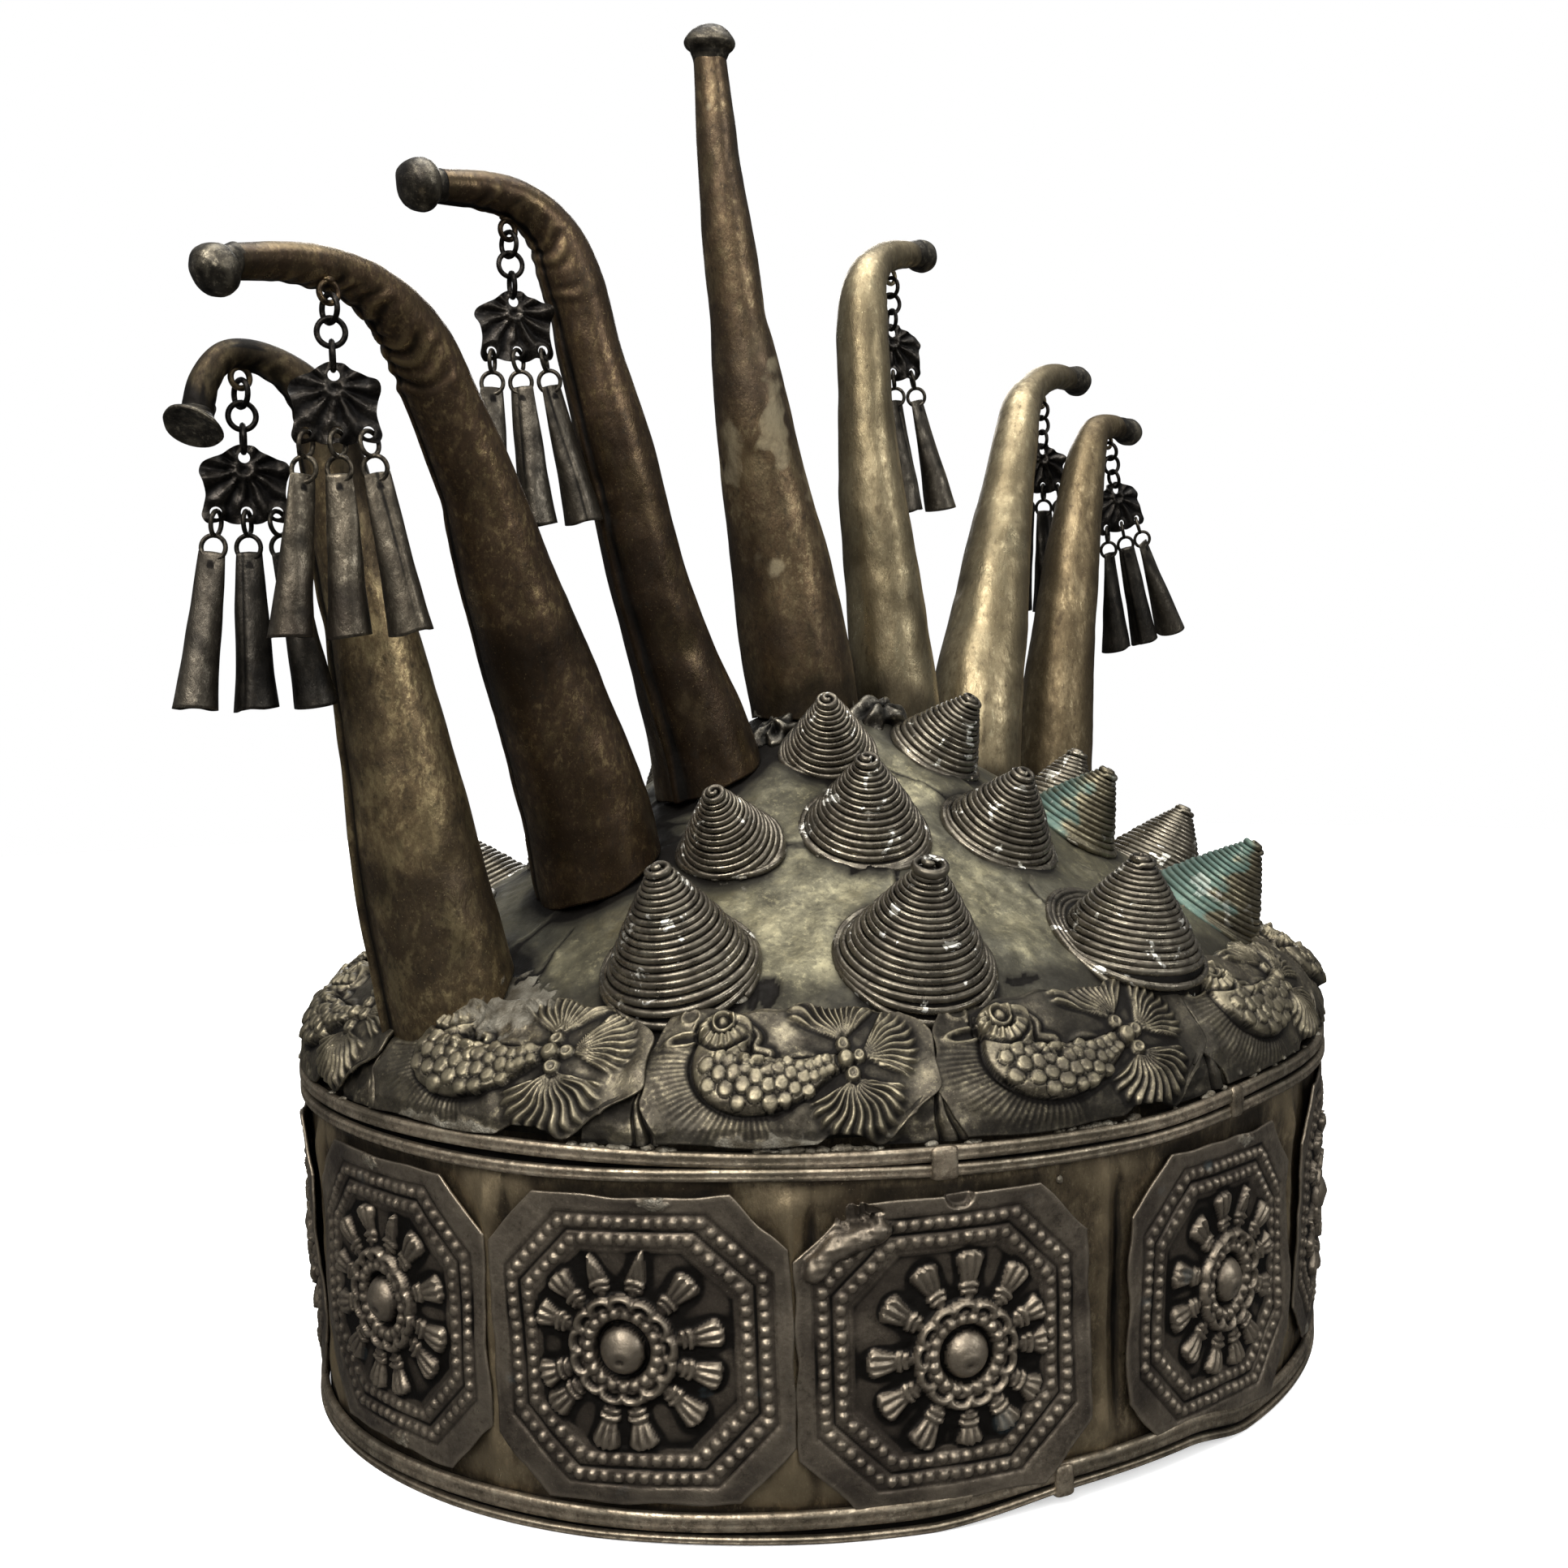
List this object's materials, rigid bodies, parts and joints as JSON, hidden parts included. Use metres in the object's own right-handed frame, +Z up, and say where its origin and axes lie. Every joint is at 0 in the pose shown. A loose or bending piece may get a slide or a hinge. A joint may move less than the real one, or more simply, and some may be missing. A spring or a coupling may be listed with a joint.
{
  "type": "ritual headdress",
  "caption": "Oval metal cap on a plaque-covered band, crowned by a fan of curved horns, studded with coiled-wire cones and hung with swinging bell pendants.",
  "frame": {"origin": "centre of the head opening, in the plane midway between the two base wires", "axes": "+Z up, towards the tips of the horns; X along the fan of horns and the oval's long axis, -X towards the first horn; -Y towards the front, the side seen in the picture"},
  "size_m": [0.2584, 0.1792, 0.2394],
  "materials": {
    "cap_sheet": "tarnished olive-bronze sheet, satin, with dark seams",
    "plaque_sheet": "tarnished bronze sheet, dark recesses and rubbed high points",
    "ring_wire": "tarnished drawn wire, satin",
    "horn_sheet_dark": "brown tarnished rolled sheet, mottled satin",
    "horn_sheet_light": "champagne-gold tarnished rolled sheet, satin",
    "cone_wire": "dark coiled wire, polished on the crests",
    "cone_wire_patina": "dark coiled wire with blue-green patina",
    "pendant_metal": "nearly black tarnished sheet and wire, satin"
  },
  "bodies": {
    "headdress": {"cap_dome": "cap_sheet", "fish_frieze": "cap_sheet", "band_shell": "plaque_sheet", "plaque_belt_front": "plaque_sheet", "plaque_belt_back": "plaque_sheet", "top_wire_rings": "ring_wire", "base_wire_rings": "ring_wire", "horn_1": "horn_sheet_dark", "horn_2": "horn_sheet_dark", "horn_3": "horn_sheet_dark", "horn_4": "horn_sheet_light", "horn_5": "horn_sheet_light", "horn_6": "horn_sheet_light", "horn_7": "horn_sheet_light", "cone_front_low_1": "cone_wire", "cone_front_low_2": "cone_wire", "cone_front_low_3": "cone_wire", "cone_front_low_4": "cone_wire_patina", "cone_front_low_5": "cone_wire", "cone_front_mid_1": "cone_wire", "cone_front_mid_2": "cone_wire", "cone_front_mid_3": "cone_wire", "cone_front_mid_4": "cone_wire_patina", "cone_front_mid_5": "cone_wire", "cone_front_top_1": "cone_wire", "cone_front_top_2": "cone_wire", "cone_back_low_1": "cone_wire", "cone_back_low_2": "cone_wire", "cone_back_low_3": "cone_wire", "cone_back_low_4": "cone_wire", "cone_back_low_5": "cone_wire", "cone_back_mid_1": "cone_wire", "cone_back_mid_2": "cone_wire", "cone_back_mid_3": "cone_wire", "cone_back_mid_4": "cone_wire", "cone_back_mid_5": "cone_wire"},
    "hanger_1": {"hanger_1": "pendant_metal"},
    "bell_1_a": {"bell_1_a": "pendant_metal"},
    "bell_1_b": {"bell_1_b": "pendant_metal"},
    "bell_1_c": {"bell_1_c": "pendant_metal"},
    "hanger_2": {"hanger_2": "pendant_metal"},
    "bell_2_a": {"bell_2_a": "pendant_metal"},
    "bell_2_b": {"bell_2_b": "pendant_metal"},
    "bell_2_c": {"bell_2_c": "pendant_metal"},
    "hanger_3": {"hanger_3": "pendant_metal"},
    "bell_3_a": {"bell_3_a": "pendant_metal"},
    "bell_3_b": {"bell_3_b": "pendant_metal"},
    "bell_3_c": {"bell_3_c": "pendant_metal"},
    "hanger_5": {"hanger_5": "pendant_metal"},
    "bell_5_a": {"bell_5_a": "pendant_metal"},
    "bell_5_b": {"bell_5_b": "pendant_metal"},
    "bell_5_c": {"bell_5_c": "pendant_metal"},
    "hanger_6": {"hanger_6": "pendant_metal"},
    "bell_6_a": {"bell_6_a": "pendant_metal"},
    "bell_6_b": {"bell_6_b": "pendant_metal"},
    "bell_6_c": {"bell_6_c": "pendant_metal"},
    "hanger_7": {"hanger_7": "pendant_metal"},
    "bell_7_a": {"bell_7_a": "pendant_metal"},
    "bell_7_b": {"bell_7_b": "pendant_metal"},
    "bell_7_c": {"bell_7_c": "pendant_metal"}
  },
  "joints": [
    {"name": "hanger_1_swing", "type": "hinge", "parent": "headdress", "child": "hanger_1", "pos_m": [-0.1175, 0.0052, 0.1649], "axis": [0.9998, 0, 0.0175], "range_deg": [-10, 55]},
    {"name": "bell_1_a_swing", "type": "hinge", "parent": "hanger_1", "child": "bell_1_a", "pos_m": [-0.12106, 0.00702, 0.14578], "axis": [0.8977, -0.4174, -0.1408], "range_deg": [-35, 35]},
    {"name": "bell_1_b_swing", "type": "hinge", "parent": "hanger_1", "child": "bell_1_b", "pos_m": [-0.11717, 0.0052, 0.14585], "axis": [0.9062, -0.4226, 0.0158], "range_deg": [-20, 35]},
    {"name": "bell_1_c_swing", "type": "hinge", "parent": "hanger_1", "child": "bell_1_c", "pos_m": [-0.11327, 0.00338, 0.14592], "axis": [0.8923, -0.4174, 0.172], "range_deg": [-15, 35]},
    {"name": "hanger_2_swing", "type": "hinge", "parent": "headdress", "child": "hanger_2", "pos_m": [-0.1131, -0.0119, 0.175], "axis": [0.9994, 0, 0.0349], "range_deg": [-55, 8]},
    {"name": "bell_2_a_swing", "type": "hinge", "parent": "hanger_2", "child": "bell_2_a", "pos_m": [-0.11616, -0.00975, 0.15583], "axis": [0.8619, -0.4951, -0.1092], "range_deg": [-35, 12]},
    {"name": "bell_2_b_swing", "type": "hinge", "parent": "hanger_2", "child": "bell_2_b", "pos_m": [-0.11244, -0.0119, 0.15596], "axis": [0.8655, -0.5, 0.0302], "range_deg": [-35, 8]},
    {"name": "bell_2_c_swing", "type": "hinge", "parent": "hanger_2", "child": "bell_2_c", "pos_m": [-0.10871, -0.01405, 0.15609], "axis": [0.8494, -0.4938, 0.1862], "range_deg": [-35, 5]},
    {"name": "hanger_3_swing", "type": "hinge", "parent": "headdress", "child": "hanger_3", "pos_m": [-0.0689, 0.0045, 0.1938], "axis": [0.9976, 0, 0.0698], "range_deg": [-2, 55]},
    {"name": "bell_3_a_swing", "type": "hinge", "parent": "hanger_3", "child": "bell_3_a", "pos_m": [-0.07146, 0.00632, 0.17452], "axis": [0.9068, -0.4213, -0.0152], "range_deg": [-3, 35]},
    {"name": "bell_3_b_swing", "type": "hinge", "parent": "hanger_3", "child": "bell_3_b", "pos_m": [-0.06757, 0.0045, 0.1748], "axis": [0.9002, -0.4222, 0.1067], "range_deg": [-35, 35]},
    {"name": "bell_3_c_swing", "type": "hinge", "parent": "hanger_3", "child": "bell_3_c", "pos_m": [-0.06368, 0.00268, 0.17507], "axis": [0.8783, -0.4162, 0.2355], "range_deg": [-35, 35]},
    {"name": "hanger_5_swing", "type": "hinge", "parent": "headdress", "child": "hanger_5", "pos_m": [0.0324, 0.0092, 0.2021], "axis": [0.9994, 0, 0.0349], "range_deg": [-45, 45]},
    {"name": "bell_5_a_swing", "type": "hinge", "parent": "hanger_5", "child": "bell_5_a", "pos_m": [0.02908, 0.01081, 0.18292], "axis": [0.9268, -0.3737, -0.0374], "range_deg": [-18, 35]},
    {"name": "bell_5_b_swing", "type": "hinge", "parent": "hanger_5", "child": "bell_5_b", "pos_m": [0.03306, 0.0092, 0.18306], "axis": [0.9219, -0.3737, 0.102], "range_deg": [-35, 35]},
    {"name": "bell_5_c_swing", "type": "hinge", "parent": "hanger_5", "child": "bell_5_c", "pos_m": [0.03705, 0.00759, 0.1832], "axis": [0.8991, -0.3664, 0.2394], "range_deg": [-35, 35]},
    {"name": "hanger_6_swing", "type": "hinge", "parent": "headdress", "child": "hanger_6", "pos_m": [0.0896, 0.0129, 0.1829], "axis": [0.9994, 0, 0.0349], "range_deg": [-3, 55]},
    {"name": "bell_6_a_swing", "type": "hinge", "parent": "hanger_6", "child": "bell_6_a", "pos_m": [0.08618, 0.01423, 0.16372], "axis": [0.9461, -0.306, -0.1062], "range_deg": [-5, 35]},
    {"name": "bell_6_b_swing", "type": "hinge", "parent": "hanger_6", "child": "bell_6_b", "pos_m": [0.09026, 0.0129, 0.16386], "axis": [0.9505, -0.309, 0.0332], "range_deg": [-7, 35]},
    {"name": "bell_6_c_swing", "type": "hinge", "parent": "hanger_6", "child": "bell_6_c", "pos_m": [0.09435, 0.01157, 0.164], "axis": [0.9333, -0.3052, 0.1891], "range_deg": [-30, 35]},
    {"name": "hanger_7_swing", "type": "hinge", "parent": "headdress", "child": "hanger_7", "pos_m": [0.1002, 0.0016, 0.1734], "axis": [0.9563, 0, 0.2924], "range_deg": [-45, 45]},
    {"name": "bell_7_a_swing", "type": "hinge", "parent": "hanger_7", "child": "bell_7_a", "pos_m": [0.10196, 0.00321, 0.15402], "axis": [0.9157, -0.3718, 0.1525], "range_deg": [-35, 35]},
    {"name": "bell_7_b_swing", "type": "hinge", "parent": "hanger_7", "child": "bell_7_b", "pos_m": [0.10577, 0.0016, 0.15518], "axis": [0.8787, -0.3745, 0.296], "range_deg": [-35, 35]},
    {"name": "bell_7_c_swing", "type": "hinge", "parent": "hanger_7", "child": "bell_7_c", "pos_m": [0.10958, -0.00001, 0.15635], "axis": [0.83, -0.37, 0.4173], "range_deg": [-35, 35]}
  ]
}
